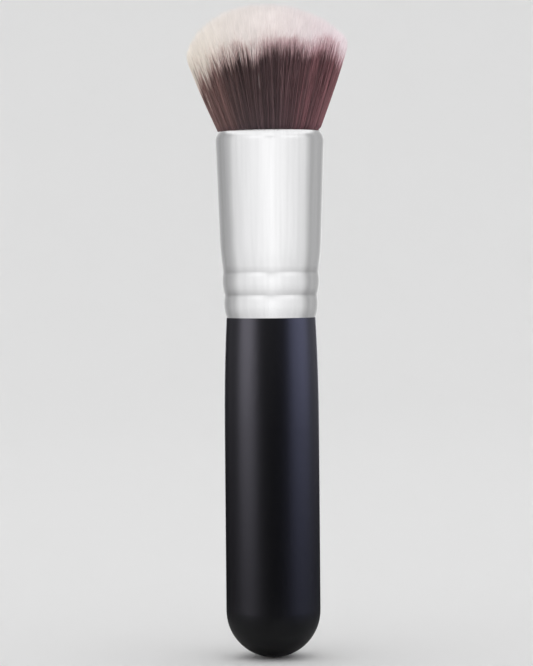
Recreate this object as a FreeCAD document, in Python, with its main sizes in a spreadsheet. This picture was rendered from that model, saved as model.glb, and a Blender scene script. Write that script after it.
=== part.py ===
import FreeCAD, Part
import math
import os
import Sketcher

# Long-handled kabuki makeup brush, upright: the round butt touches Z = 0 and the fibres point up.
# Lengths are in millimetres, the lean is in degrees. Each size is set here once and read through the sheet.
sizes = {
    "handle_length": 70.0,  # butt to the shoulder that carries the ferrule
    "handle_diameter": 19.4,  # straight barrel, and the ball of the butt
    "neck_length": 22.0,  # stretch under the shoulder that draws in
    "neck_reduction": 0.57,  # loss of radius along the neck
    "tenon_length": 14.0,
    "tenon_chamfer": 0.8,
    "tail_step": 0.07,  # how far the tail of the ferrule stands proud of the neck
    "crimp_spacing": 4.7,  # height of each of the two rolled bands
    "crimp_rise": 0.3,  # gain of radius from one crimp to the next
    "band_bulge": 0.32,  # swell of a band between its crimps
    "waist_height": 6.6,  # flared stretch above the upper crimp
    "waist_rise": 0.68,
    "body_height": 20.05,  # straight taper of the tube
    "body_rise": 0.71,
    "lip_height": 2.05,  # turned-in mouth
    "lip_turn": 0.67,
    "ferrule_wall": 0.4,  # sheet at the tail and at the mouth
    "tenon_glue_depth": 2.0,  # adhesive pooled on the end of the tenon
    "plug_depth": 5.0,  # epoxy cast round the ends of the fibres
    "root_gap": 0.1,  # between the roots and the bore
    "lip_gap": 0.3,  # between the fibres and the edge of the mouth
    "tuft_length": 25.9,  # mouth to the top of the dome
    "tuft_width": 33.0,
    "crown_radius": 22.0,
    "rim_radius": 4.0,  # rounded shoulder of the tuft
    "tuft_lean": 2.0,  # towards -X
    "tuft_locks": 60,  # flat locks of fibre round the tuft
}
rim_steps = 3  # rings of the tuft round its rim, and up its crown
crown_steps = 4

doc = FreeCAD.newDocument("brush")
sheet = doc.addObject("Spreadsheet::Sheet", "dims")
for row, (alias, value) in enumerate(sizes.items(), start=1):
    sheet.set(f"A{row}", alias)
    sheet.set(f"B{row}", str(value))
    sheet.setAlias(f"B{row}", alias)
doc.recompute()

# Outside radii of the handle and the ferrule, from the butt up.
barrel_radius = "dims.handle_diameter / 2"
neck_radius = f"{barrel_radius} - dims.neck_reduction"
tail_radius = f"{neck_radius} + dims.tail_step"
lower_crimp_radius = f"{tail_radius} + dims.crimp_rise"
upper_crimp_radius = f"{lower_crimp_radius} + dims.crimp_rise"
waist_radius = f"{upper_crimp_radius} + dims.waist_rise"
body_radius = f"{waist_radius} + dims.body_rise"
mouth_radius = f"{body_radius} - dims.lip_turn"
lip_bore = f"{mouth_radius} - dims.ferrule_wall"

# Heights above the shoulder, from the tail of the ferrule to its mouth, and of what is inside it.
lower_crimp_height = "dims.crimp_spacing"
upper_crimp_height = "dims.crimp_spacing * 2"
waist_height = f"{upper_crimp_height} + dims.waist_height"
body_height = f"{waist_height} + dims.body_height"
mouth_height = f"{body_height} + dims.lip_height"
plug_height = "dims.tenon_length + dims.tenon_glue_depth"
root_height = f"{plug_height} + dims.plug_depth"

# Axis of the tuft: the rim is a ring of small arcs that the straight flare and the dome of the crown both touch.
rim_centre = "(dims.tuft_width / 2 - dims.rim_radius)"
crown_centre = "(dims.tuft_length - dims.crown_radius)"
crown_angle = f"asin({rim_centre} / (dims.crown_radius - dims.rim_radius))"
rim_height = f"({crown_centre} + (dims.crown_radius - dims.rim_radius) * cos({crown_angle}))"
flare_run = f"({rim_centre} - ({lip_bore} - dims.lip_gap))"
flare_reach = f"sqrt({flare_run} ^ 2 + {rim_height} ^ 2)"
flare_angle = f"(atan({flare_run} / {rim_height}) + asin(dims.rim_radius / {flare_reach}))"


def measure(expression):
    return float(sheet.evalExpression(expression))


def bore_radius(height):
    # The bore is one straight taper from the tail to the turn of the lip.
    widening = "(dims.crimp_rise * 2 + dims.waist_rise + dims.body_rise)"
    return f"{tail_radius} - dims.ferrule_wall + {widening} * ({height}) / ({body_height})"


def corner(across, up, bend=None):
    # One vertex of an outline, and the edge that leaves it: straight, or an arc that turns left.
    return {"across": across, "up": up, "bend": bend}


def bind(sketch, kind, *where, size):
    index = sketch.addConstraint(Sketcher.Constraint(kind, *where, measure(size)))
    sketch.setExpression(f"Constraints[{index}]", size)


def fix_point(sketch, edge, across, up):
    # The start of an edge: zero coordinates lie on an axis, the others are measured from the origin.
    if across == "0":
        sketch.addConstraint(Sketcher.Constraint("PointOnObject", edge, 1, -2))
    else:
        bind(sketch, "DistanceX", -1, 1, edge, 1, size=across)
    if up == "0":
        sketch.addConstraint(Sketcher.Constraint("PointOnObject", edge, 1, -1))
    else:
        bind(sketch, "DistanceY", -1, 1, edge, 1, size=up)


def arc_between(start, end, radius):
    # The centre lies to the left of the chord.
    chord = end - start
    side = FreeCAD.Vector(-chord.y, chord.x, 0).normalize()
    centre = start + chord * 0.5 + side * math.sqrt(radius**2 - chord.Length**2 / 4)
    first = math.atan2(start.y - centre.y, start.x - centre.x)
    last = math.atan2(end.y - centre.y, end.x - centre.x)
    return Part.ArcOfCircle(Part.Circle(centre, FreeCAD.Vector(0, 0, 1), radius), first, last)


def draw_outline(sketch, corners):
    # Closed chain of lines and arcs, each corner held by its two coordinates and each arc by its radius.
    points = [FreeCAD.Vector(measure(c["across"]), measure(c["up"]), 0) for c in corners]
    for index, spot in enumerate(corners):
        start, end = points[index], points[(index + 1) % len(points)]
        if spot["bend"]:
            sketch.addGeometry(arc_between(start, end, measure(spot["bend"])))
        else:
            sketch.addGeometry(Part.LineSegment(start, end))
    for index, spot in enumerate(corners):
        before = index - 1 if index else len(corners) - 1
        sketch.addConstraint(Sketcher.Constraint("Coincident", before, 2, index, 1))
        fix_point(sketch, index, spot["across"], spot["up"])
        if spot["bend"]:
            bind(sketch, "Radius", index, size=spot["bend"])


def turned_body(label, corners, lift=None):
    # A body turned about Z from an outline drawn in the XZ plane.
    body = doc.addObject("PartDesign::Body", label)
    body.Label = label
    if lift:
        body.setExpression("Placement.Base.z", lift)
    sketch = body.newObject("Sketcher::SketchObject", f"{label}_outline")
    plane = next(item for item in body.Origin.OriginFeatures if item.Role == "XZ_Plane")
    sketch.AttachmentSupport = [(plane, "")]
    sketch.MapMode = "FlatFace"
    draw_outline(sketch, corners)
    turning = body.newObject("PartDesign::Revolution", f"{label}_turning")
    turning.Profile = sketch
    turning.ReferenceAxis = (sketch, ["V_Axis"])
    turning.Angle = 360
    doc.recompute()
    return body


def make_handle():
    # Ball butt, straight barrel, neck drawn in along an arc tangent to the barrel, shoulder and tenon.
    neck_bend = "(dims.neck_length ^ 2 + dims.neck_reduction ^ 2) / (2 * dims.neck_reduction)"
    tenon_end = "dims.handle_length + dims.tenon_length"
    chamfer_height = "dims.tenon_length - dims.tenon_chamfer"
    corners = [
        corner("0", "0", barrel_radius),
        corner(barrel_radius, barrel_radius),
        corner(barrel_radius, "dims.handle_length - dims.neck_length", neck_bend),
        corner(neck_radius, "dims.handle_length"),
        corner(bore_radius("0"), "dims.handle_length"),
        corner(bore_radius(chamfer_height), f"dims.handle_length + {chamfer_height}"),
        corner(f"{bore_radius(chamfer_height)} - dims.tenon_chamfer", tenon_end),
        corner("0", tenon_end),
    ]
    return turned_body("handle", corners)


def make_ferrule():
    # Drawn tube: two bands rolled on to the tenon, a straight taper, and a waist and a lip tangent to it.
    band_chord = "(dims.crimp_spacing ^ 2 + dims.crimp_rise ^ 2)"
    band_bend = f"({band_chord} / 4 + dims.band_bulge ^ 2) / (2 * dims.band_bulge)"
    taper = "atan(dims.body_rise / dims.body_height)"
    waist_chord = "sqrt(dims.waist_height ^ 2 + dims.waist_rise ^ 2)"
    waist_bend = f"{waist_chord} / (2 * sin(atan(dims.waist_rise / dims.waist_height) - {taper}))"
    lip_chord = "sqrt(dims.lip_height ^ 2 + dims.lip_turn ^ 2)"
    lip_bend = f"{lip_chord} / (2 * sin(atan(dims.lip_turn / dims.lip_height) + {taper}))"
    corners = [
        corner(tail_radius, "0", band_bend),
        corner(lower_crimp_radius, lower_crimp_height, band_bend),
        corner(upper_crimp_radius, upper_crimp_height, waist_bend),
        corner(waist_radius, waist_height),
        corner(body_radius, body_height, lip_bend),
        corner(mouth_radius, mouth_height),
        corner(lip_bore, mouth_height),
        corner(bore_radius(body_height), body_height),
        corner(bore_radius("0"), "0"),
    ]
    return turned_body("ferrule", corners, "dims.handle_length")


def bore_filling(label, start, depth):
    # A frustum that fills the bore, from a height above the shoulder.
    filling = doc.addObject("Part::Cone", label)
    filling.Label = label
    filling.setExpression("Radius1", bore_radius(start))
    filling.setExpression("Radius2", bore_radius(f"{start} + {depth}"))
    filling.setExpression("Height", depth)
    filling.setExpression("Placement.Base.z", f"dims.handle_length + {start}")
    return filling


def make_tenon_glue():
    # Adhesive pooled between the tenon and the plug.
    return bore_filling("tenon_glue", "dims.tenon_length", "dims.tenon_glue_depth")


def make_root_glue_plug():
    # Epoxy cast behind the roots, bonded to the bore all round.
    return bore_filling("root_glue_plug", plug_height, "dims.plug_depth")


def straight_ring(radius, height):
    # One ring of locks about the axis of the handle, at a height above the shoulder.
    ring = doc.addObject("Part::RegularPolygon", "root_ring")
    ring.setExpression("Polygon", "dims.tuft_locks")
    ring.setExpression("Circumradius", radius)
    ring.setExpression("Placement.Base.z", f"dims.handle_length + {height}")
    return ring


def set_leaning(item, height):
    # A place on the leaning axis of the tuft, at a distance from the middle of the mouth.
    item.Placement = FreeCAD.Placement(FreeCAD.Vector(), FreeCAD.Rotation(FreeCAD.Vector(0, -1, 0), 1))
    item.setExpression("Placement.Rotation.Angle", "dims.tuft_lean")
    item.setExpression("Placement.Base.x", f"-({height}) * sin(dims.tuft_lean)")
    rise = f"({height}) * cos(dims.tuft_lean)"
    item.setExpression("Placement.Base.z", f"dims.handle_length + {mouth_height} + {rise}")


def leaning_ring(radius, height):
    ring = doc.addObject("Part::RegularPolygon", "head_ring")
    ring.setExpression("Polygon", "dims.tuft_locks")
    ring.setExpression("Circumradius", radius)
    set_leaning(ring, height)
    return ring


def root_rings():
    # The fibres stand on the plug, fill the bore and are pinched by the lip.
    return [
        straight_ring(f"{bore_radius(root_height)} - dims.root_gap", root_height),
        straight_ring(f"{bore_radius(body_height)} - dims.root_gap", body_height),
        straight_ring(f"{lip_bore} - dims.lip_gap", mouth_height),
    ]


def head_rings():
    # Rings round the rim from the end of the flare to the crown, then up the dome of the crown.
    rings = []
    for step in range(rim_steps + 1):
        sweep = f"(90 deg - {crown_angle} + {flare_angle})"
        turn = f"({sweep} * {step} / {rim_steps} - {flare_angle})"
        radius = f"{rim_centre} + dims.rim_radius * cos({turn})"
        rings.append(leaning_ring(radius, f"{rim_height} + dims.rim_radius * sin({turn})"))
    for step in range(crown_steps - 1, 0, -1):
        turn = f"({crown_angle} * {step} / {crown_steps})"
        radius = f"dims.crown_radius * sin({turn})"
        rings.append(leaning_ring(radius, f"{crown_centre} + dims.crown_radius * cos({turn})"))
    return rings


def make_tuft():
    # Bundle of fibres as one body of flat locks: roots, straight flare, rounded rim and domed crown.
    top = doc.addObject("Part::Vertex", "tuft_top")
    set_leaning(top, "dims.tuft_length")
    tuft = doc.addObject("Part::Loft", "tuft")
    tuft.Label = "tuft"
    tuft.Sections = [*root_rings(), *head_rings(), top]
    tuft.Solid = True
    tuft.Ruled = True
    tuft.Linearize = True
    return tuft


def write_parts(pieces):
    # Every feature must have built, and each sub-part must be one sound solid, before a file is written.
    doc.recompute()
    for item in doc.Objects:
        if "Invalid" in item.State or "Error" in item.State:
            raise RuntimeError(f"{item.Label} did not build: {item.State}")
    for piece in pieces:
        shape = piece.Shape
        if shape.isNull() or not shape.isValid() or len(shape.Solids) != 1:
            raise RuntimeError(f"{piece.Label} is not one sound solid")
    os.makedirs("parts", exist_ok=True)
    for piece in pieces:
        piece.Shape.exportStep(os.path.join("parts", f"{piece.Label}.step"))
        print(f"{piece.Label}: {piece.Shape.Volume:.1f} mm3")


pieces = [make_handle(), make_ferrule(), make_tenon_glue(), make_root_glue_plug(), make_tuft()]
write_parts(pieces)
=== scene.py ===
import math

import bpy
import numpy as np
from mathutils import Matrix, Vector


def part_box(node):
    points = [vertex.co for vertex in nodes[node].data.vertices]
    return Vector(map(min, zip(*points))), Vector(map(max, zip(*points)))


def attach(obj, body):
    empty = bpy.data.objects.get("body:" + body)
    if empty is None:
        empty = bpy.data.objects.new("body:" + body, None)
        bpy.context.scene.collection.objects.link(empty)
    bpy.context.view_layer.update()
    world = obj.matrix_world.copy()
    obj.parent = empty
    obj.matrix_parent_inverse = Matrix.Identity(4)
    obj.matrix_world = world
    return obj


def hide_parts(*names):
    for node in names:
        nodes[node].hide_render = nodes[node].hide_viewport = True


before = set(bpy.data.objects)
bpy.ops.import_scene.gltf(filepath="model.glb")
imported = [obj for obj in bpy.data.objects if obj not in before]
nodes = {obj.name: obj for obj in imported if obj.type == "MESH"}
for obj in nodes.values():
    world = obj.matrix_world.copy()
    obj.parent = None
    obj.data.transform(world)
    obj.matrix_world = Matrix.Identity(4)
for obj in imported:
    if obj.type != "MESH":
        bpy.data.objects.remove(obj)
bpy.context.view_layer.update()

mm = 0.001
ferruleLow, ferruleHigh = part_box("ferrule")
tuftLow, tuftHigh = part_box("tuft")
mouthHeight = ferruleHigh.z


# Colours, objects and meshes

def linear(red, green, blue):
    # sRGB bytes to the linear colour that a socket takes
    share = np.array([red, green, blue]) / 255
    low, high = share / 12.92, ((share + 0.055) / 1.055) ** 2.4
    return (*np.where(share <= 0.04045, low, high).tolist(), 1.0)


def grey(level):
    return (level, level, level, 1)


def hump(place, middle, width):
    # smooth bump of height 1: exp(-((place - middle) / width)^2)
    return np.exp(-(((place - middle) / width) ** 2))


def addObject(name, data):
    thing = bpy.data.objects.new(name, data)
    bpy.context.scene.collection.objects.link(thing)
    return thing


def meshFrom(name, points, faceSizes, corners, uv=None):
    # points (n, 3), then each face's corner count and all the corners in a row
    mesh = bpy.data.meshes.new(name)
    mesh.vertices.add(len(points))
    mesh.vertices.foreach_set("co", points.astype(np.float32).ravel())
    mesh.loops.add(len(corners))
    mesh.loops.foreach_set("vertex_index", corners.astype(np.int32))
    mesh.polygons.add(len(faceSizes))
    starts = np.concatenate([[0], np.cumsum(faceSizes)[:-1]])
    mesh.polygons.foreach_set("loop_start", starts.astype(np.int32))
    mesh.polygons.foreach_set("use_smooth", np.ones(len(faceSizes), bool))
    mesh.update(calc_edges=True)
    if uv is not None:
        mesh.uv_layers.new(name="OFBake").data.foreach_set("uv", uv.astype(np.float32).ravel())
    mesh.validate()
    return mesh


def closedRings(rows, steps):
    # point numbers of closed rings, row by row, with the first point of a ring again at its end
    index = np.arange(rows * steps).reshape(rows, steps)
    return np.concatenate([index, index[:, :1]], 1)


def gridQuads(index):
    # faces between the neighbouring rows and columns of a grid of point numbers
    return np.stack([index[:-1, :-1], index[:-1, 1:], index[1:, 1:], index[1:, :-1]], -1).reshape(-1, 4)


def turnedPoints(radius, height, cosine, sine):
    # rings about Z: (radius cosine, radius sine, height) at each step of the turn
    rows = radius[:, None]
    return np.stack([rows * cosine, rows * sine, height[:, None] + 0 * cosine], -1).reshape(-1, 3)


def turnedMesh(name, radius, height, steps, lift, uvAlong, uvStrip):
    # surface of revolution: (radius, height) along the profile, turned in equal steps, poles as fans
    turn = np.arange(steps) * 2 * math.pi / steps
    rings = turnedPoints(radius[1:-1], height[1:-1], np.cos(turn), np.sin(turn))
    poles = np.stack([np.zeros(2), np.zeros(2), height[[0, -1]]], -1)
    rows = len(radius) - 2
    index = closedRings(rows, steps)
    first, last = index[0], index[-1]
    quads = gridQuads(index)
    bottom = np.stack([np.full(steps, rows * steps), first[1:], first[:-1]], -1)
    top = np.stack([np.full(steps, rows * steps + 1), last[:-1], last[1:]], -1)
    sizes = np.concatenate([np.full(len(quads), 4), np.full(2 * steps, 3)])
    corners = np.concatenate([quads.ravel(), bottom.ravel(), top.ravel()])
    along = np.concatenate([np.repeat(uvAlong[1:-1], steps), uvAlong[[0, -1]]])
    low, high = uvStrip  # there and back over the strip, so that the map has no seam
    strip = low + (high - low) * np.abs(2 * np.arange(steps) / steps - 1)
    across = np.concatenate([np.tile(strip, rows), [low, low]])
    uv = np.stack([across[corners], along[corners]], -1)
    return meshFrom(name, lift(np.concatenate([rings, poles])), sizes, corners, uv)


# Nodes and materials

def newMaterial(name):
    material = bpy.data.materials.new(name)
    material.use_nodes = True
    return material, material.node_tree, material.node_tree.nodes["Principled BSDF"]


def addNode(tree, kind, **settings):
    node = tree.nodes.new(kind)
    for name, value in settings.items():
        if name in node.inputs:
            node.inputs[name].default_value = value
        else:
            setattr(node, name, value)
    return node


def arithmetic(tree, operation, first, second=0.0):
    node = addNode(tree, "ShaderNodeMath", operation=operation)
    tree.links.new(first, node.inputs[0])
    node.inputs[1].default_value = second
    return node.outputs["Value"]


def noise(tree, scale, along=1.0, detail=3.0):
    # clouds in object coordinates, scale per metre, drawn out along Z where along is below 1
    place = addNode(tree, "ShaderNodeTexCoord")
    mapping = addNode(tree, "ShaderNodeMapping", Scale=(1, 1, along))
    cloud = addNode(tree, "ShaderNodeTexNoise", Scale=scale, Detail=detail)
    tree.links.new(place.outputs["Object"], mapping.inputs["Vector"])
    tree.links.new(mapping.outputs["Vector"], cloud.inputs["Vector"])
    return cloud.outputs["Fac"]


def ramp(tree, factor, places, colours):
    node = addNode(tree, "ShaderNodeValToRGB")
    band = node.color_ramp
    while len(band.elements) < len(places):
        band.elements.new(0.5)
    for element, place, colour in zip(band.elements, places, colours):
        element.position = place
        element.color = colour
    tree.links.new(factor, node.inputs["Fac"])
    return node.outputs["Color"]


def mapRange(tree, factor, source=(0, 1), target=(0, 1), kind="LINEAR"):
    node = addNode(tree, "ShaderNodeMapRange", interpolation_type=kind)
    for name, value in zip(("From Min", "From Max", "To Min", "To Max"), (*source, *target)):
        node.inputs[name].default_value = value
    tree.links.new(factor, node.inputs["Value"])
    return node.outputs["Result"]


def mixed(tree, factor, first, second, blend="MIX"):
    node = addNode(tree, "ShaderNodeMix", data_type="RGBA", blend_type=blend)
    for source, socket in ((factor, 0), (first, 6), (second, 7)):  # the colour sockets of a mix node
        if isinstance(source, bpy.types.NodeSocket):
            tree.links.new(source, node.inputs[socket])
        else:
            node.inputs[socket].default_value = source
    return node.outputs[2]


def bump(tree, height, distance, strength=1.0, under=None):
    node = addNode(tree, "ShaderNodeBump", Distance=distance, Strength=strength)
    tree.links.new(height, node.inputs["Height"])
    if under:
        tree.links.new(under, node.inputs["Normal"])
    return node.outputs["Normal"]


lacquer = {
    "dark": linear(3, 3, 4),
    "light": linear(5, 5, 7),
    "tone": (160, 0.25),  # clouds of tone: per metre, and drawn out along the handle
    "toneStops": (0.3, 0.7),
    "rub": (900, 0.08),  # rubbed streaks in the sheen, likewise
    "roughness": (0.40, 0.44),
    "specular": 0.50,
    "peel": 700,  # orange peel of the sprayed coat, per metre
    "peelDepth": 0.012 * mm,
}


def lacquerMaterial():
    material, tree, shader = newMaterial("handleLacquer")
    tone = noise(tree, *lacquer["tone"])
    black = ramp(tree, tone, lacquer["toneStops"], (lacquer["dark"], lacquer["light"]))
    tree.links.new(black, shader.inputs["Base Color"])
    rub = noise(tree, *lacquer["rub"])
    tree.links.new(mapRange(tree, rub, target=lacquer["roughness"]), shader.inputs["Roughness"])
    shader.inputs["Specular IOR Level"].default_value = lacquer["specular"]
    peel = noise(tree, lacquer["peel"], detail=1.0)
    tree.links.new(bump(tree, peel, lacquer["peelDepth"]), shader.inputs["Normal"])
    return material


metal = {
    "dull": linear(228, 228, 229),
    "bright": linear(235, 235, 236),
    "toneStops": (0.25, 0.75),
    "roughness": (0.20, 0.23),
    "drawn": (1100, 0.01),  # faint lines along the drawn tube: per metre round it, and their stretch
    "drawnDepth": 0.0004 * mm,
    "dent": (260, 0.7),  # unevenness of the rolled bands, likewise
    "dentDepth": (0.16 * mm, 0.3),  # and strength
    "crimps": (74.7 * mm, 79.4 * mm),
    "crimpWidth": (1.3 * mm, 0.5 * mm),  # stretch of painted shade above the bottom of a crimp, and below
    # painted shade: the level the crimps are darkened to
    "crimpShadeLevel": 0.84,
}


def paintedCrimpShade(tree):
    # painted shade in the crimps, where the grooves shade themselves: a ramp over the height of the
    # ferrule that dips at each of them
    place = addNode(tree, "ShaderNodeTexCoord")
    split = addNode(tree, "ShaderNodeSeparateXYZ")
    tree.links.new(place.outputs["Object"], split.inputs["Vector"])
    low, high = ferruleLow.z, ferruleHigh.z
    share = mapRange(tree, split.outputs["Z"], (low, high))
    above, below = metal["crimpWidth"]
    heights = [crimp + offset for crimp in metal["crimps"] for offset in (-below, 0, above)]
    places = [(height - low) / (high - low) for height in heights]
    levels = [grey(1), grey(metal["crimpShadeLevel"]), grey(1)] * len(metal["crimps"])
    return ramp(tree, share, places, levels)


def metalMaterial():
    material, tree, shader = newMaterial("ferruleMetal")
    shader.inputs["Metallic"].default_value = 1.0
    lines = noise(tree, *metal["drawn"], detail=2.0)
    silver = ramp(tree, lines, metal["toneStops"], (metal["dull"], metal["bright"]))
    # the silver is multiplied by the painted shade in the crimps
    shaded = mixed(tree, 1.0, silver, paintedCrimpShade(tree), "MULTIPLY")
    tree.links.new(shaded, shader.inputs["Base Color"])
    tree.links.new(mapRange(tree, lines, target=metal["roughness"]), shader.inputs["Roughness"])
    dents = bump(tree, noise(tree, *metal["dent"], detail=1.0), *metal["dentDepth"])
    tree.links.new(bump(tree, lines, metal["drawnDepth"], under=dents), shader.inputs["Normal"])
    return material


glue = {
    "cloud": 500,  # per metre
    "cloudStops": (0.3, 0.7),
    "depth": 0.05 * mm,
    "strength": 0.4,
    "castEpoxy": {"dark": linear(186, 152, 92), "light": linear(214, 184, 124), "roughness": 0.2},
    "tenonAdhesive": {"dark": linear(214, 204, 178), "light": linear(232, 226, 206), "roughness": 0.5},
}


def glueMaterial(name):
    # set glue: cloudy, with fine unevenness
    look = glue[name]
    material, tree, shader = newMaterial(name)
    cloud = noise(tree, glue["cloud"])
    colour = ramp(tree, cloud, glue["cloudStops"], (look["dark"], look["light"]))
    tree.links.new(colour, shader.inputs["Base Color"])
    shader.inputs["Roughness"].default_value = look["roughness"]
    tree.links.new(bump(tree, cloud, glue["depth"], glue["strength"]), shader.inputs["Normal"])
    return material


fibreLook = {
    "sides": (0.06, 0.28, 0.62, 0.94),  # places across the map of the four shades, -X flank to +X flank
    # the flank shades, first and last in each list, are lighter than the front ones: painted light on the
    # tuft's sides
    "tip": (linear(248, 240, 230), linear(248, 240, 235), linear(248, 239, 237), linear(243, 231, 235)),
    "turn": (linear(200, 176, 168), linear(192, 166, 163), linear(190, 160, 163), linear(192, 157, 163)),
    "dark": (linear(146, 111, 107), linear(105, 82, 82), linear(110, 84, 87), linear(146, 99, 104)),
    "root": (linear(118, 90, 91), linear(100, 81, 85), linear(104, 83, 88), linear(130, 88, 95)),
    # painted shade where the fibres go into the ferrule
    "mouthShade": (linear(84, 64, 66), linear(72, 58, 61), linear(74, 59, 63), linear(92, 63, 68)),
    "turnUp": 1.4 * mm,  # from the turn of the colour to full pale, and to full dark
    "turnDown": 1.9 * mm,
    "rootDown": 24 * mm,
    "mouthDown": (26 * mm, 29 * mm),  # stretch of painted shade at the mouth, where the fibres go into the ferrule
    "paleTone": 0.68,  # darkest fibre against the lightest, in the pale part and in the dark
    "darkTone": 0.30,
    "roughness": 0.42,
    "specular": 0.35,
    "bands": 8,  # across the map, from -X to +X, each with all the tones from dark to light
    "columns": 512,  # strips across the map, one for each shade of fibre
    "span": 60 * mm,  # length of fibre that the map holds
    "turnAt": 0.5,  # where on the map pale turns to dark
}


def fibreMaterial():
    # map: across are bands from -X to +X that each run from dark to light,
    # along is the distance from the tip
    look = fibreLook
    material, tree, shader = newMaterial("tuftFibre")
    place = addNode(tree, "ShaderNodeUVMap", uv_map="OFBake")
    split = addNode(tree, "ShaderNodeSeparateXYZ")
    tree.links.new(place.outputs["UV"], split.inputs["Vector"])
    bands = arithmetic(tree, "MULTIPLY", split.outputs["X"], look["bands"])
    tone = arithmetic(tree, "FRACT", bands)
    across = arithmetic(tree, "DIVIDE", arithmetic(tree, "FLOOR", bands), look["bands"] - 1)
    lengths = (-look["turnUp"], 0, look["turnDown"], look["rootDown"], *look["mouthDown"])
    places = [look["turnAt"] + length / look["span"] for length in lengths]
    paleAt, turnAt, darkAt, rootAt, shadeAt, mouthAt = places

    def shadeOf(part):
        # a few sides of the tuft, mixed by the place across the map; the lighter flank shades are painted
        # light
        return ramp(tree, across, look["sides"], look[part])

    def spread(lowest):
        return ramp(tree, tone, (0, 1), (grey(lowest), grey(1)))

    def step(first, last):
        return mapRange(tree, split.outputs["Y"], (first, last), kind="SMOOTHSTEP")

    pale = mixed(tree, 1.0, shadeOf("tip"), spread(look["paleTone"]), "MULTIPLY")
    dark = mixed(tree, step(darkAt, rootAt), shadeOf("dark"), shadeOf("root"))
    # painted shade at the mouth
    dark = mixed(tree, step(shadeAt, mouthAt), dark, shadeOf("mouthShade"))
    dark = mixed(tree, 1.0, dark, spread(look["darkTone"]), "MULTIPLY")
    upper = mixed(tree, step(paleAt, turnAt), pale, shadeOf("turn"))
    colour = mixed(tree, step(turnAt, darkAt), upper, dark)
    tree.links.new(colour, shader.inputs["Base Color"])
    shader.inputs["Roughness"].default_value = look["roughness"]
    shader.inputs["Specular IOR Level"].default_value = look["specular"]
    return material


def dressNode(name, material):
    for slot in nodes[name].material_slots:
        slot.material = material


dressNode("handle", lacquerMaterial())
dressNode("ferrule", metalMaterial())
dressNode("root_glue_plug", glueMaterial("castEpoxy"))
dressNode("tenon_glue", glueMaterial("tenonAdhesive"))
print("materials: handle, ferrule and the two glues are dressed")


# Tuft: a fan of fibres that leaves the mouth, leans with the tuft and ends on its dome

tuft = {
    "lean": math.radians(2.1),  # towards -X, about the middle of the mouth
    "mouthRadius": 10.06 * mm,
    "length": 26.2 * mm,
    "width": tuftHigh.y - tuftLow.y + 0.4 * mm,
    "crownRadius": 22.0 * mm,
    "rimRadius": 4.0 * mm,
    "rootDepth": 3.0 * mm,  # below the edge of the mouth
    "seed": 7,
}
rng = np.random.default_rng(tuft["seed"])

topRadius = tuft["width"] / 2
rimCentre = topRadius - tuft["rimRadius"]
crownCentre = tuft["length"] - tuft["crownRadius"]
crownAngle = math.asin(rimCentre / (tuft["crownRadius"] - tuft["rimRadius"]))
rimHeight = crownCentre + (tuft["crownRadius"] - tuft["rimRadius"]) * math.cos(crownAngle)
flareRun = rimCentre - tuft["mouthRadius"]
rimTurn = math.asin(tuft["rimRadius"] / math.hypot(flareRun, rimHeight))
flareAngle = math.atan(flareRun / rimHeight) + rimTurn  # of the flank, which touches the rim circle


def leaning(points):
    # from the tuft's own axis to the brush: turn about Y, then lift to the mouth
    cosine, sine = math.cos(tuft["lean"]), math.sin(tuft["lean"])
    x, y, z = points[..., 0], points[..., 1], points[..., 2]
    return np.stack([x * cosine - z * sine, y, x * sine + z * cosine + mouthHeight], -1)


def reachOfFan(share):
    # length of the straight line from the mouth to the dome: the far crossing with the crown circle,
    # or with the rim circle where the crown has already turned over
    start, angle = share * tuft["mouthRadius"], share * flareAngle
    across, up = np.sin(angle), np.cos(angle)

    def crossing(centreAcross, centreUp, radius):
        dot = (start - centreAcross) * across - centreUp * up
        rest = (start - centreAcross) ** 2 + centreUp**2 - radius**2
        return -dot + np.sqrt(np.maximum(dot**2 - rest, 0))

    crown = crossing(0, crownCentre, tuft["crownRadius"])
    rim = crossing(rimCentre, rimHeight, tuft["rimRadius"])
    hit = np.arctan2(start + crown * across, crown * up - crownCentre)
    return np.where(hit < crownAngle, crown, rim)


def softGrid(across, along, cell):
    # smooth value noise from -1 to 1: random values on a grid, eased between its points
    size = 128
    values = rng.uniform(-1, 1, (size, size))
    i, j = np.floor(across / cell).astype(int), np.floor(along / cell).astype(int)
    f, g = across / cell - i, along / cell - j
    f, g = f * f * (3 - 2 * f), g * g * (3 - 2 * g)
    i, j = i % size, j % size
    near, far = (i + 1) % size, (j + 1) % size
    low = values[i, j] * (1 - f) + values[near, j] * f
    high = values[i, far] * (1 - f) + values[near, far] * f
    return low * (1 - g) + high * g


fibre = {
    "count": 36000,
    "sectors": 6,  # pieces round the tuft
    "outerShare": 0.85,  # fibres past this share of the radius show their whole length
    "outerRings": 8,
    "innerRings": 5,
    "innerLength": 11.0 * mm,
    "ringEase": 0.8,  # below 1 the rings draw together towards the tip
    "thick": 0.056 * mm,  # radius of a fibre, and of its tip
    "thin": 0.024 * mm,
    "taper": (9 * mm, 0.7),  # length that tapers, and the power of its curve
    "foot": 0.30 * mm,  # swell of the outer fibres over the edge of the mouth, and along the flank
    "footRun": 0.5 * mm,
    "belly": 0.14 * mm,
    "swellPower": 6,  # power of the share of the radius that keeps the swell outside
    "shadeRun": 1.5 * mm,  # length with painted shade at the mouth, and its step on the map
    "shadeBy": 8 * mm,
    "rollFrom": (0.0, 1.0, 0.3),  # a direction that no fibre runs along
    "stripPlaces": (0.2, 0.5, 0.8),  # of the three edges within a strip of the map, and of the tip
    "tipPlace": 0.5,
}


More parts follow.
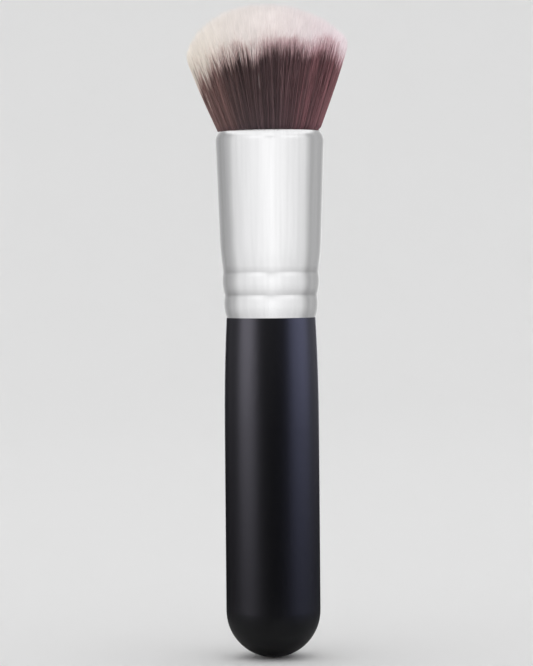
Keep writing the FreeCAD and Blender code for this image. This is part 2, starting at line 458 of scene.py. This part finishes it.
def fibreFan():
    # each fibre's share of the radius and its turn, sorted by turn: a sunflower spread with some scatter;
    # and its place towards +X and among the locks
    count = fibre["count"]
    share = np.sqrt((np.arange(count) + rng.uniform(0, 1, count)) / count)
    turn = (np.arange(count) * math.pi * (3 - math.sqrt(5))) % (2 * math.pi) - math.pi
    order = np.argsort(turn)
    share, turn = share[order], turn[order]
    rootX, rootY = share * np.cos(turn), share * np.sin(turn)
    return {"share": share, "turn": turn, "rootX": rootX, "place": (rootX * topRadius, rootY * topRadius)}


def fibrePaths(share, turn, rings, length, tipX, tipY, longer):
    # points along fan lines, from length below the tip up to the tip, that bend sideways with the square
    # of the run; the outer ones swell over the edge of the mouth
    angle = (share * flareAngle)[:, None]
    reach = reachOfFan(share) + longer
    begin = np.maximum(reach - length, 0)
    step = np.linspace(0, 1, rings - 3) ** fibre["ringEase"]
    run = begin[:, None] + (reach - begin)[:, None] * step
    first = run[:, :1]
    low = [first - tuft["rootDepth"], first, first + fibre["footRun"], first + fibre["shadeRun"]]
    run = np.concatenate([*low, run[:, 1:]], 1)
    part = np.clip(run / reach[:, None], 0, 1)
    bend = part**2
    foot = fibre["foot"] * np.clip(run / fibre["footRun"], 0, 1) * (1 - part)
    belly = fibre["belly"] * 4 * part * (1 - part)
    swell = (foot + belly) * share[:, None] ** fibre["swellPower"]
    radial = (share * tuft["mouthRadius"])[:, None] + np.clip(run, 0, None) * np.sin(angle) + swell
    height = np.where(run > 0, run * np.cos(angle), run)
    x = radial * np.cos(turn)[:, None] + bend * tipX[:, None]
    y = radial * np.sin(turn)[:, None] + bend * tipY[:, None]
    # painted shade at the mouth: the lowest points step far along the map, onto the mouth's shade
    shaded = np.where(run <= fibre["footRun"], fibre["shadeBy"], 0)
    return leaning(np.stack([x, y, height], -1)), reach[:, None] - run + shaded


def unit(vectors):
    return vectors / np.linalg.norm(vectors, axis=1)[:, None]


def fibreMesh(name, paths, fromTip, column, pale):
    # three-sided tapered tubes, each rolled at random, closed by a triangle below and three at the point
    count, rings = paths.shape[:2]
    rows = rings - 1
    axis = unit(paths[:, -1] - paths[:, 0])
    side = unit(np.cross(axis, fibre["rollFrom"]))
    other = np.cross(axis, side)
    taperLength, taperPower = fibre["taper"]
    full = np.clip(fromTip / taperLength, 0, 1) ** taperPower
    radius = fibre["thin"] + (fibre["thick"] - fibre["thin"]) * full
    corner = rng.uniform(0, 2 * math.pi, (count, 1)) + np.arange(3) * 2 * math.pi / 3
    around = np.cos(corner)[:, :, None] * side[:, None] + np.sin(corner)[:, :, None] * other[:, None]
    body = paths[:, :-1, None] + radius[:, :-1, None, None] * around[:, None]
    points = np.concatenate([body.reshape(count, rows * 3, 3), paths[:, -1:]], 1)
    index = closedRings(rows, 3)
    quads = gridQuads(index)
    last = index[-1]
    point = np.stack([last[:-1], last[1:], np.full(3, rows * 3)], -1)
    pattern = np.concatenate([index[0, :3][::-1], quads.ravel(), point.ravel()])
    sizes = np.tile(np.concatenate([[3], np.full(len(quads), 4), [3, 3, 3]]), count)
    corners = (pattern[None] + (np.arange(count) * (rows * 3 + 1))[:, None]).ravel()
    along = np.concatenate([np.repeat(fromTip[:, :-1], 3, 1), fromTip[:, -1:]], 1)
    along = fibreLook["turnAt"] + (along - pale[:, None]) / fibreLook["span"]
    strip = np.append(np.tile(fibre["stripPlaces"], rows), fibre["tipPlace"])
    across = (column[:, None] + strip[None]) / fibreLook["columns"]
    uv = np.stack([across[:, pattern].ravel(), along[:, pattern].ravel()], -1)
    return meshFrom(name, points.reshape(-1, 3), sizes, corners, uv)


tips = {
    "sway": 0.35 * mm,  # sideways scatter of the tips
    "strays": 0.05,  # share of fibres that cross their neighbours, and their drift
    "strayDrift": 1.4 * mm,
    "clump": 0.5 * mm,  # drift of neighbours towards each other
    "lock": 0.95 * mm,  # width of a lock
    "curl": (0.7, 0.35 * mm),  # tips past this share of the +X flank turn in
    "holdPower": 4,  # power of the share of the radius that keeps the outer tips in
    "lift": 0.22 * mm,  # more length, so that the sparse tips fill the outline
    "lifts": ((0.38 * mm, -0.35, 0.22), (-0.65 * mm, -0.86, 0.12)),  # on -X: by, place and width
    "liftRim": (-0.20 * mm, 0.76 * mm),  # more on the outermost fibres, and with the place towards +X
    "rim": (0.85, 0.15),  # share of the radius where that begins, and the run to all of it
    "shorter": 0.10 * mm,  # mean shortfall of a tip below the dome
    "pit": 0.5 * mm,  # lower reach in the gaps between locks
    "pitWidth": 0.7,  # in locks
    "pitEdge": (0.97, 0.05),  # share of the radius with no pits past it, and the run to all of them
}


def tipDrift(fan):
    # sideways: locks and strays, a curl on the +X flank, and no drift out of the fan on the outside
    count = len(fan["turn"])
    drift = np.where(rng.uniform(0, 1, count) < tips["strays"], tips["strayDrift"], tips["sway"])
    tipX = tips["clump"] * softGrid(*fan["place"], tips["lock"]) + rng.normal(0, 1, count) * drift
    tipY = tips["clump"] * softGrid(*fan["place"], tips["lock"]) + rng.normal(0, 1, count) * drift
    curlFrom, curlBy = tips["curl"]
    tipX = tipX - curlBy * np.clip((fan["rootX"] - curlFrom) / (1 - curlFrom), 0, 1)
    cosine, sine = np.cos(fan["turn"]), np.sin(fan["turn"])
    outward = np.clip(tipX * cosine + tipY * sine, 0, None) * fan["share"] ** tips["holdPower"]
    return tipX - outward * cosine, tipY - outward * sine


def tipLift(fan):
    # length past the fan's reach: the lifts, less a random shortfall and the pits between locks
    share, rootX = fan["share"], fan["rootX"]
    edge, edgeRun = tips["pitEdge"]
    pits = np.clip(softGrid(*fan["place"], tips["pitWidth"] * tips["lock"]), 0, 1) ** 2
    pits = pits * np.clip((edge - share) / edgeRun, 0, 1)
    longer = tips["lift"]
    for lift, middle, width in tips["lifts"]:
        longer = longer + lift * hump(rootX, middle, width)
    rimLift, rimSlope = tips["liftRim"]
    rimFrom, rimRun = tips["rim"]
    longer = longer + (rimLift + rimSlope * rootX) * np.clip((share - rimFrom) / rimRun, 0, 1)
    return longer - rng.exponential(tips["shorter"], len(share)) - tips["pit"] * pits


paleEnds = {
    "length": 0.75 * mm,
    "left": (2.8 * mm, 0.9),  # more towards -X, and the power of its curve
    "deep": (2.8 * mm, 0.2),  # more on the fibres behind, all of it this share of the radius inside
    "deepEven": 0.7,  # share of the unevenness that those lose
    "edges": ((-0.90, 2.6 * mm), (0.76, 3.0 * mm)),  # more past these shares on the last of each flank
    "tongue": 1.2 * mm,  # unevenness in broad tongues, from lock to lock and from fibre to fibre
    "tongues": 8,  # round the tuft
    "tongueTurn": math.radians(100),
    "locks": ((0.4 * mm, 2.8 * mm), (1.0 * mm, 0.95 * mm), (0.9 * mm, 0.34 * mm)),  # height, width
    "scatter": 0.6 * mm,
    "strays": 0.006,  # share of fibres that are pale for longer
    "strayLength": 8.0 * mm,
    "least": 0.2 * mm,
}


def paleLengths(fan):
    share, rootX = fan["share"], fan["rootX"]
    count = len(share)
    left, leftPower = paleEnds["left"]
    deepLength, deepRun = paleEnds["deep"]
    deep = np.clip((1 - share) / deepRun, 0, 1)
    pale = paleEnds["length"] + left * np.clip(-rootX, 0, 1) ** leftPower + deepLength * deep
    for edge, more in paleEnds["edges"]:
        pale = pale + more * np.clip((rootX / edge - 1) / (1 / abs(edge) - 1), 0, 1)
    tongue = np.cos(paleEnds["tongues"] * (fan["turn"] + paleEnds["tongueTurn"]))
    uneven = paleEnds["tongue"] * np.clip(tongue, 0, 1) ** 2
    for height, width in paleEnds["locks"]:
        uneven = uneven + height * softGrid(*fan["place"], width)
    pale = pale + uneven * (1 - paleEnds["deepEven"] * deep)
    light = rng.uniform(0, 1, count) < paleEnds["strays"]
    pale = pale + np.where(light, rng.uniform(0, 1, count) * paleEnds["strayLength"], 0)
    return np.clip(pale + rng.normal(0, paleEnds["scatter"], count), paleEnds["least"], None)


tones = {
    "scatter": 0.14,  # from fibre to fibre
    "locks": ((0.24, 0.9 * mm), (0.42, 0.32 * mm)),  # weight and width of the streaks of one tone
    "range": (0.02, 0.97),
    "bandScatter": 0.5,  # in bands of the map
}


def mapColumns(fan):
    # each fibre's strip of the map: the band by its place towards +X, and within the band by its tone
    count = len(fan["rootX"])
    bands = fibreLook["bands"]
    tone = 0.5 + rng.normal(0, tones["scatter"], count)
    for weight, width in tones["locks"]:
        tone = tone + weight * softGrid(*fan["place"], width)
    place = bands * (0.5 + 0.5 * fan["rootX"]) + rng.normal(0, tones["bandScatter"], count)
    band = np.clip(np.floor(place), 0, bands - 1)
    return np.floor((band + np.clip(tone, *tones["range"])) / bands * fibreLook["columns"])


def makeFibres(material):
    # outer and inner fibres of each sector as pieces of their own
    fan = fibreFan()
    share, turn = fan["share"], fan["turn"]
    tipX, tipY = tipDrift(fan)
    longer = tipLift(fan)
    pale = paleLengths(fan)
    column = mapColumns(fan)
    sector = np.floor((turn + math.pi) / (2 * math.pi) * fibre["sectors"]).astype(int)
    outer = share > fibre["outerShare"]
    kinds = (
        ("flank", outer, fibre["outerRings"], math.inf),
        ("crown", ~outer, fibre["innerRings"], fibre["innerLength"]),
    )
    made = []
    for number in range(fibre["sectors"]):
        for part, chosen, rings, length in kinds:
            pick = (sector == number) & chosen
            ends = tipX[pick], tipY[pick], longer[pick]
            paths, fromTip = fibrePaths(share[pick], turn[pick], rings, length, *ends)
            name = f"{part}_fibres_{number + 1}"
            piece = addObject(name, fibreMesh(name, paths, fromTip, column[pick], pale[pick]))
            piece.data.materials.append(material)
            made.append(piece)
    return made


core = {
    "inset": 2.2 * mm,
    "drop": 1.3 * mm,
    "steps": 72,
    "rows": 24,
    "domeFrom": 0.93,  # share of the radius where the flank turns into the dome
    "band": 4,  # shade and tones that it takes on the fibres' map
    "tones": (0.40, 0.55),
    "footAlong": 0.3,  # place on the map of its foot and of its dome, from the turn of the colour
    "domeAlong": -0.03,
}


def makeCore(material):
    # packed heart of the tuft: the fan's outline drawn in by the inset, under the dome by the drop
    rows = core["rows"]
    flank = np.linspace(0, 1, rows)
    reach = reachOfFan(np.array([1.0]))[0] - core["drop"]
    radius = tuft["mouthRadius"] - core["inset"] + flank * reach * math.sin(flareAngle)
    height = flank * reach * math.cos(flareAngle)
    crown = np.linspace(core["domeFrom"], 0, rows)
    over = reachOfFan(crown) - core["drop"]
    shrink = radius[-1] / (tuft["mouthRadius"] + reach * math.sin(flareAngle))
    domeRadius = shrink * (crown * tuft["mouthRadius"] + over * np.sin(crown * flareAngle))
    domeHeight = over * np.cos(crown * flareAngle)
    radius = np.concatenate([[0, radius[0]], radius, domeRadius])
    height = np.concatenate([np.full(2, -tuft["rootDepth"]), height, domeHeight])
    foot = np.concatenate([np.full(2, core["footAlong"]), (1 - flank) * core["footAlong"]])
    along = fibreLook["turnAt"] + np.concatenate([foot, np.full(rows, core["domeAlong"])])
    strip = [(core["band"] + tone) / fibreLook["bands"] for tone in core["tones"]]
    mesh = turnedMesh("tuft_core", radius, height, core["steps"], leaning, along, strip)
    piece = addObject("tuft_core", mesh)
    piece.data.materials.append(material)
    return piece


fibreFinish = fibreMaterial()
tuftPieces = [makeCore(fibreFinish), *makeFibres(fibreFinish)]
for piece in tuftPieces:
    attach(piece, "root")
    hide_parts("tuft")
triangles = sum(len(piece.data.loops) - 2 * len(piece.data.polygons) for piece in tuftPieces)
print("tuft:", len(tuftPieces), "pieces,", triangles, "triangles")


# Stage: a round cove, a glowing tent, soft panels and the camera

cove = {
    "inner": 0.3,  # first ring of the floor
    "flat": 0.9,
    "bend": 0.7,
    "wall": 1.1,
    "steps": 96,
    "rows": 24,
    "colour": linear(240, 240, 240),
    "roughness": 0.9,
}


def makeCove():
    # flat floor, quarter circle and straight wall, turned about Z
    bend = np.linspace(0, math.pi / 2, cove["rows"])
    outer, top = cove["flat"] + cove["bend"], cove["bend"] + cove["wall"]
    radius = np.concatenate([[0, cove["inner"]], cove["flat"] + cove["bend"] * np.sin(bend), [outer]])
    height = np.concatenate([[0, 0], cove["bend"] * (1 - np.cos(bend)), [top]])
    turn = np.arange(cove["steps"]) * 2 * math.pi / cove["steps"]
    points = turnedPoints(radius, height, np.cos(turn), np.sin(turn))
    quads = gridQuads(closedRings(len(radius), cove["steps"]))
    mesh = meshFrom("cove", points, np.full(len(quads), 4), quads.ravel())
    material, tree, shader = newMaterial("covePaper")
    shader.inputs["Base Color"].default_value = cove["colour"]
    shader.inputs["Roughness"].default_value = cove["roughness"]
    shader.inputs["Specular IOR Level"].default_value = 0.0
    mesh.materials.append(material)
    addObject("cove", mesh)


def shineOn(thing, receivers):
    # the light falls on these pieces alone
    group = bpy.data.collections.new(thing.name)
    for item in receivers:
        group.objects.link(item)
    thing.light_linking.receiver_collection = group


tent = {
    "radius": 0.92,
    "tall": 1.05,
    "hole": 0.003,  # round the point that the butt stands on
    "floor": 0.0003,  # height of its floor, and of the foot of its wall
    "wallFoot": 0.03,
    "steps": 180,
    "floorRows": 20,
    "wallRows": 30,
    "cover": (0.5, 0.07),  # share at the butt, where the cove shows through, and radius of all of it
    "glow": (  # bearing in degrees from the camera's side, to the right, and level
        (-180, 1.15), (-166, 1.0), (-150, 0.50), (-132, 0.36), (-104, 0.50), (-99, 0.53), (-84, 0.86),
        (-56, 0.98), (-28, 1.06), (0, 1.22), (28, 1.08), (56, 0.96), (82, 0.85), (99, 0.42), (113, 0.52),
        (136, 0.45), (150, 0.5), (166, 1.0), (180, 1.15),
    ),
    "spots": ((0, -0.28, 12), (-34, 0.22, 20), (52, 0.28, 22)),  # bearing, gain and width of soft spots,
    "spotHeight": 0.40,  # which part the shine on the rolled bands
    "spotTall": 0.12,
    "near": 0.20,  # dimmer round the butt, which darkens the foot of each band
    "nearRadius": 0.30,
    "lip": 1.12,  # level above the lip's height, which the turned-in mouth looks at
    "lipHeight": (0.58, 0.74),
}


def tentGlow(bearing, radius, height):
    # level read off the bearings, with soft spots on the wall, dimmer on the floor round the butt and
    # raised to the lip's level towards the top
    glow = np.interp(bearing, *np.transpose(tent["glow"]))
    band = hump(height, tent["spotHeight"], tent["spotTall"])
    for middle, gain, width in tent["spots"]:
        glow = glow * (1 + gain * band * hump(bearing, middle, width))
    glow = glow * (1 - tent["near"] * hump(radius, 0, tent["nearRadius"]))
    low, high = tent["lipHeight"]
    rise = np.clip((height - low) / (high - low), 0, 1)
    return glow + (np.maximum(glow, tent["lip"]) - glow) * rise


def tentMaterial():
    # glows by one attribute of the mesh and is see-through where the other is below 1
    material = bpy.data.materials.new("tentGlow")
    material.use_nodes = True
    tree = material.node_tree
    tree.nodes.clear()
    level = addNode(tree, "ShaderNodeAttribute", attribute_name="glow")
    share = addNode(tree, "ShaderNodeAttribute", attribute_name="cover")
    clear = addNode(tree, "ShaderNodeBsdfTransparent")
    shine = addNode(tree, "ShaderNodeEmission")
    sheet = addNode(tree, "ShaderNodeMixShader")
    out = addNode(tree, "ShaderNodeOutputMaterial")
    tree.links.new(level.outputs["Fac"], shine.inputs["Strength"])
    tree.links.new(share.outputs["Fac"], sheet.inputs[0])
    tree.links.new(clear.outputs["BSDF"], sheet.inputs[1])
    tree.links.new(shine.outputs["Emission"], sheet.inputs[2])
    tree.links.new(sheet.outputs["Shader"], out.inputs["Surface"])
    return material


def makeTent(receivers):
    # round sheet on the floor with an upright wall, which reflections alone see: bright for what it
    # lights and black for the rest
    floor = np.geomspace(tent["hole"], tent["radius"], tent["floorRows"])
    wall = np.linspace(tent["wallFoot"], tent["tall"], tent["wallRows"])
    radius = np.concatenate([floor, np.full(len(wall), tent["radius"])])
    height = np.concatenate([np.full(len(floor), tent["floor"]), wall])
    bearing = np.linspace(-180, 180, tent["steps"] + 1)
    turn = np.radians(bearing)
    points = turnedPoints(radius, height, np.sin(turn), -np.cos(turn))
    quads = gridQuads(np.arange(len(points)).reshape(len(radius), len(turn)))
    mesh = meshFrom("tent", points, np.full(len(quads), 4), quads.ravel())
    glow = tentGlow(bearing[None], radius[:, None], height[:, None])
    least, full = tent["cover"]
    cover = (least + (1 - least) * np.clip(radius / full, 0, 1))[:, None] + 0 * turn
    for name, values in (("glow", glow), ("cover", cover)):
        layer = mesh.attributes.new(name, "FLOAT", "POINT")
        layer.data.foreach_set("value", values.astype(np.float32).ravel())
    mesh.materials.append(tentMaterial())
    thing = addObject("tent", mesh)
    thing.visible_camera = thing.visible_diffuse = thing.visible_shadow = False
    shineOn(thing, receivers)


def aim(thing, place, target, roll=0.0):
    # looks down its own -Z at the target
    direction = (np.array(target) - np.array(place)).tolist()
    thing.location = place
    turn = Vector(direction).to_track_quat("-Z", "Y")
    thing.rotation_mode = "QUATERNION"
    thing.rotation_quaternion = turn @ Matrix.Rotation(roll, 3, "Z").to_quaternion()


# each panel: bearing in degrees from the camera's side, to the right, height, distance, width, tall,
# radiance (what a mirror would show) and colour
handlePanels = {
    "leftStrip": (-62, 0.10, 0.32, 0.25, 0.11, 5.5, (0.88, 0.85, 1.0)),
    "frontStrip": (4, 0.125, 0.22, 0.20, 0.06, 0.75, (0.9, 0.88, 1.0)),
    "rightStrip": (73, 0.10, 0.32, 0.32, 0.11, 4.2, (0.62, 0.65, 1.0)),
    "backStrip": (178, 0.12, 0.40, 0.30, 0.20, 1.5, (0.88, 0.87, 1.0)),
    "rightEdge": (122, 0.12, 0.8, 0.80, 0.5, 0.6, (0.86, 0.86, 1.0)),
    "leftEdge": (-118, 0.08, 0.8, 0.60, 0.4, 0.36, (0.9, 0.88, 1.0)),
}
tuftPanels = {
    "topPanel": (0, 1.0, 0.75, 1.0, 1.0, 2.25, (1.0, 1.0, 1.0)),
    "leftGlow": (-86, 0.25, 0.8, 0.40, 0.5, 4.5, (1.0, 0.95, 0.92)),
    "rightGlow": (76, 0.25, 0.8, 0.40, 0.5, 5.2, (1.0, 0.90, 0.93)),
}
studio = {
    "panelAim": 0.3,  # greatest height that a panel is turned to
    "world": 1.1,
}


def softPanel(name, bearing, height, distance, width, tall, radiance, colour, receivers):
    lamp = bpy.data.lights.new(name, "AREA")
    lamp.shape = "RECTANGLE"
    lamp.size, lamp.size_y = width, tall
    lamp.energy = 4 * width * tall * radiance
    lamp.color = colour
    thing = addObject(name, lamp)
    angle = math.radians(bearing)
    place = (distance * math.sin(angle), -distance * math.cos(angle), height)
    aim(thing, place, (0, 0, min(height, studio["panelAim"])))
    thing.visible_camera = False
    shineOn(thing, receivers)


def makeWorld():
    world = bpy.data.worlds.new("studioWorld")
    world.use_nodes = True
    world.node_tree.nodes["Background"].inputs["Color"].default_value = grey(studio["world"])
    bpy.context.scene.world = world
    bpy.context.scene.view_settings.view_transform = "Standard"


lens = {
    "distance": 0.552,
    "height": 81 * mm,
    "across": -0.95 * mm,  # middle of the picture beside the brush's axis
    "up": 66.8 * mm,
    "seen": 136.87 * mm,  # height of the picture at the brush
    "sensor": 36.0,
    "roll": math.radians(-0.49),
}


def makeCamera():
    data = bpy.data.cameras.new("photoCamera")
    data.sensor_width = lens["sensor"]
    data.lens = lens["sensor"] * lens["distance"] / lens["seen"]
    camera = addObject("photoCamera", data)
    place = (lens["across"], -lens["distance"], lens["height"])
    aim(camera, place, (lens["across"], 0, lens["up"]), lens["roll"])
    bpy.context.scene.camera = camera


makeCove()
makeTent([nodes["ferrule"], *tuftPieces])
for panels, receivers in ((handlePanels, [nodes["handle"]]), (tuftPanels, tuftPieces)):
    for name, values in panels.items():
        softPanel(name, *values, receivers)
makeWorld()
makeCamera()
print("stage: cove, tent, panels and camera are set")
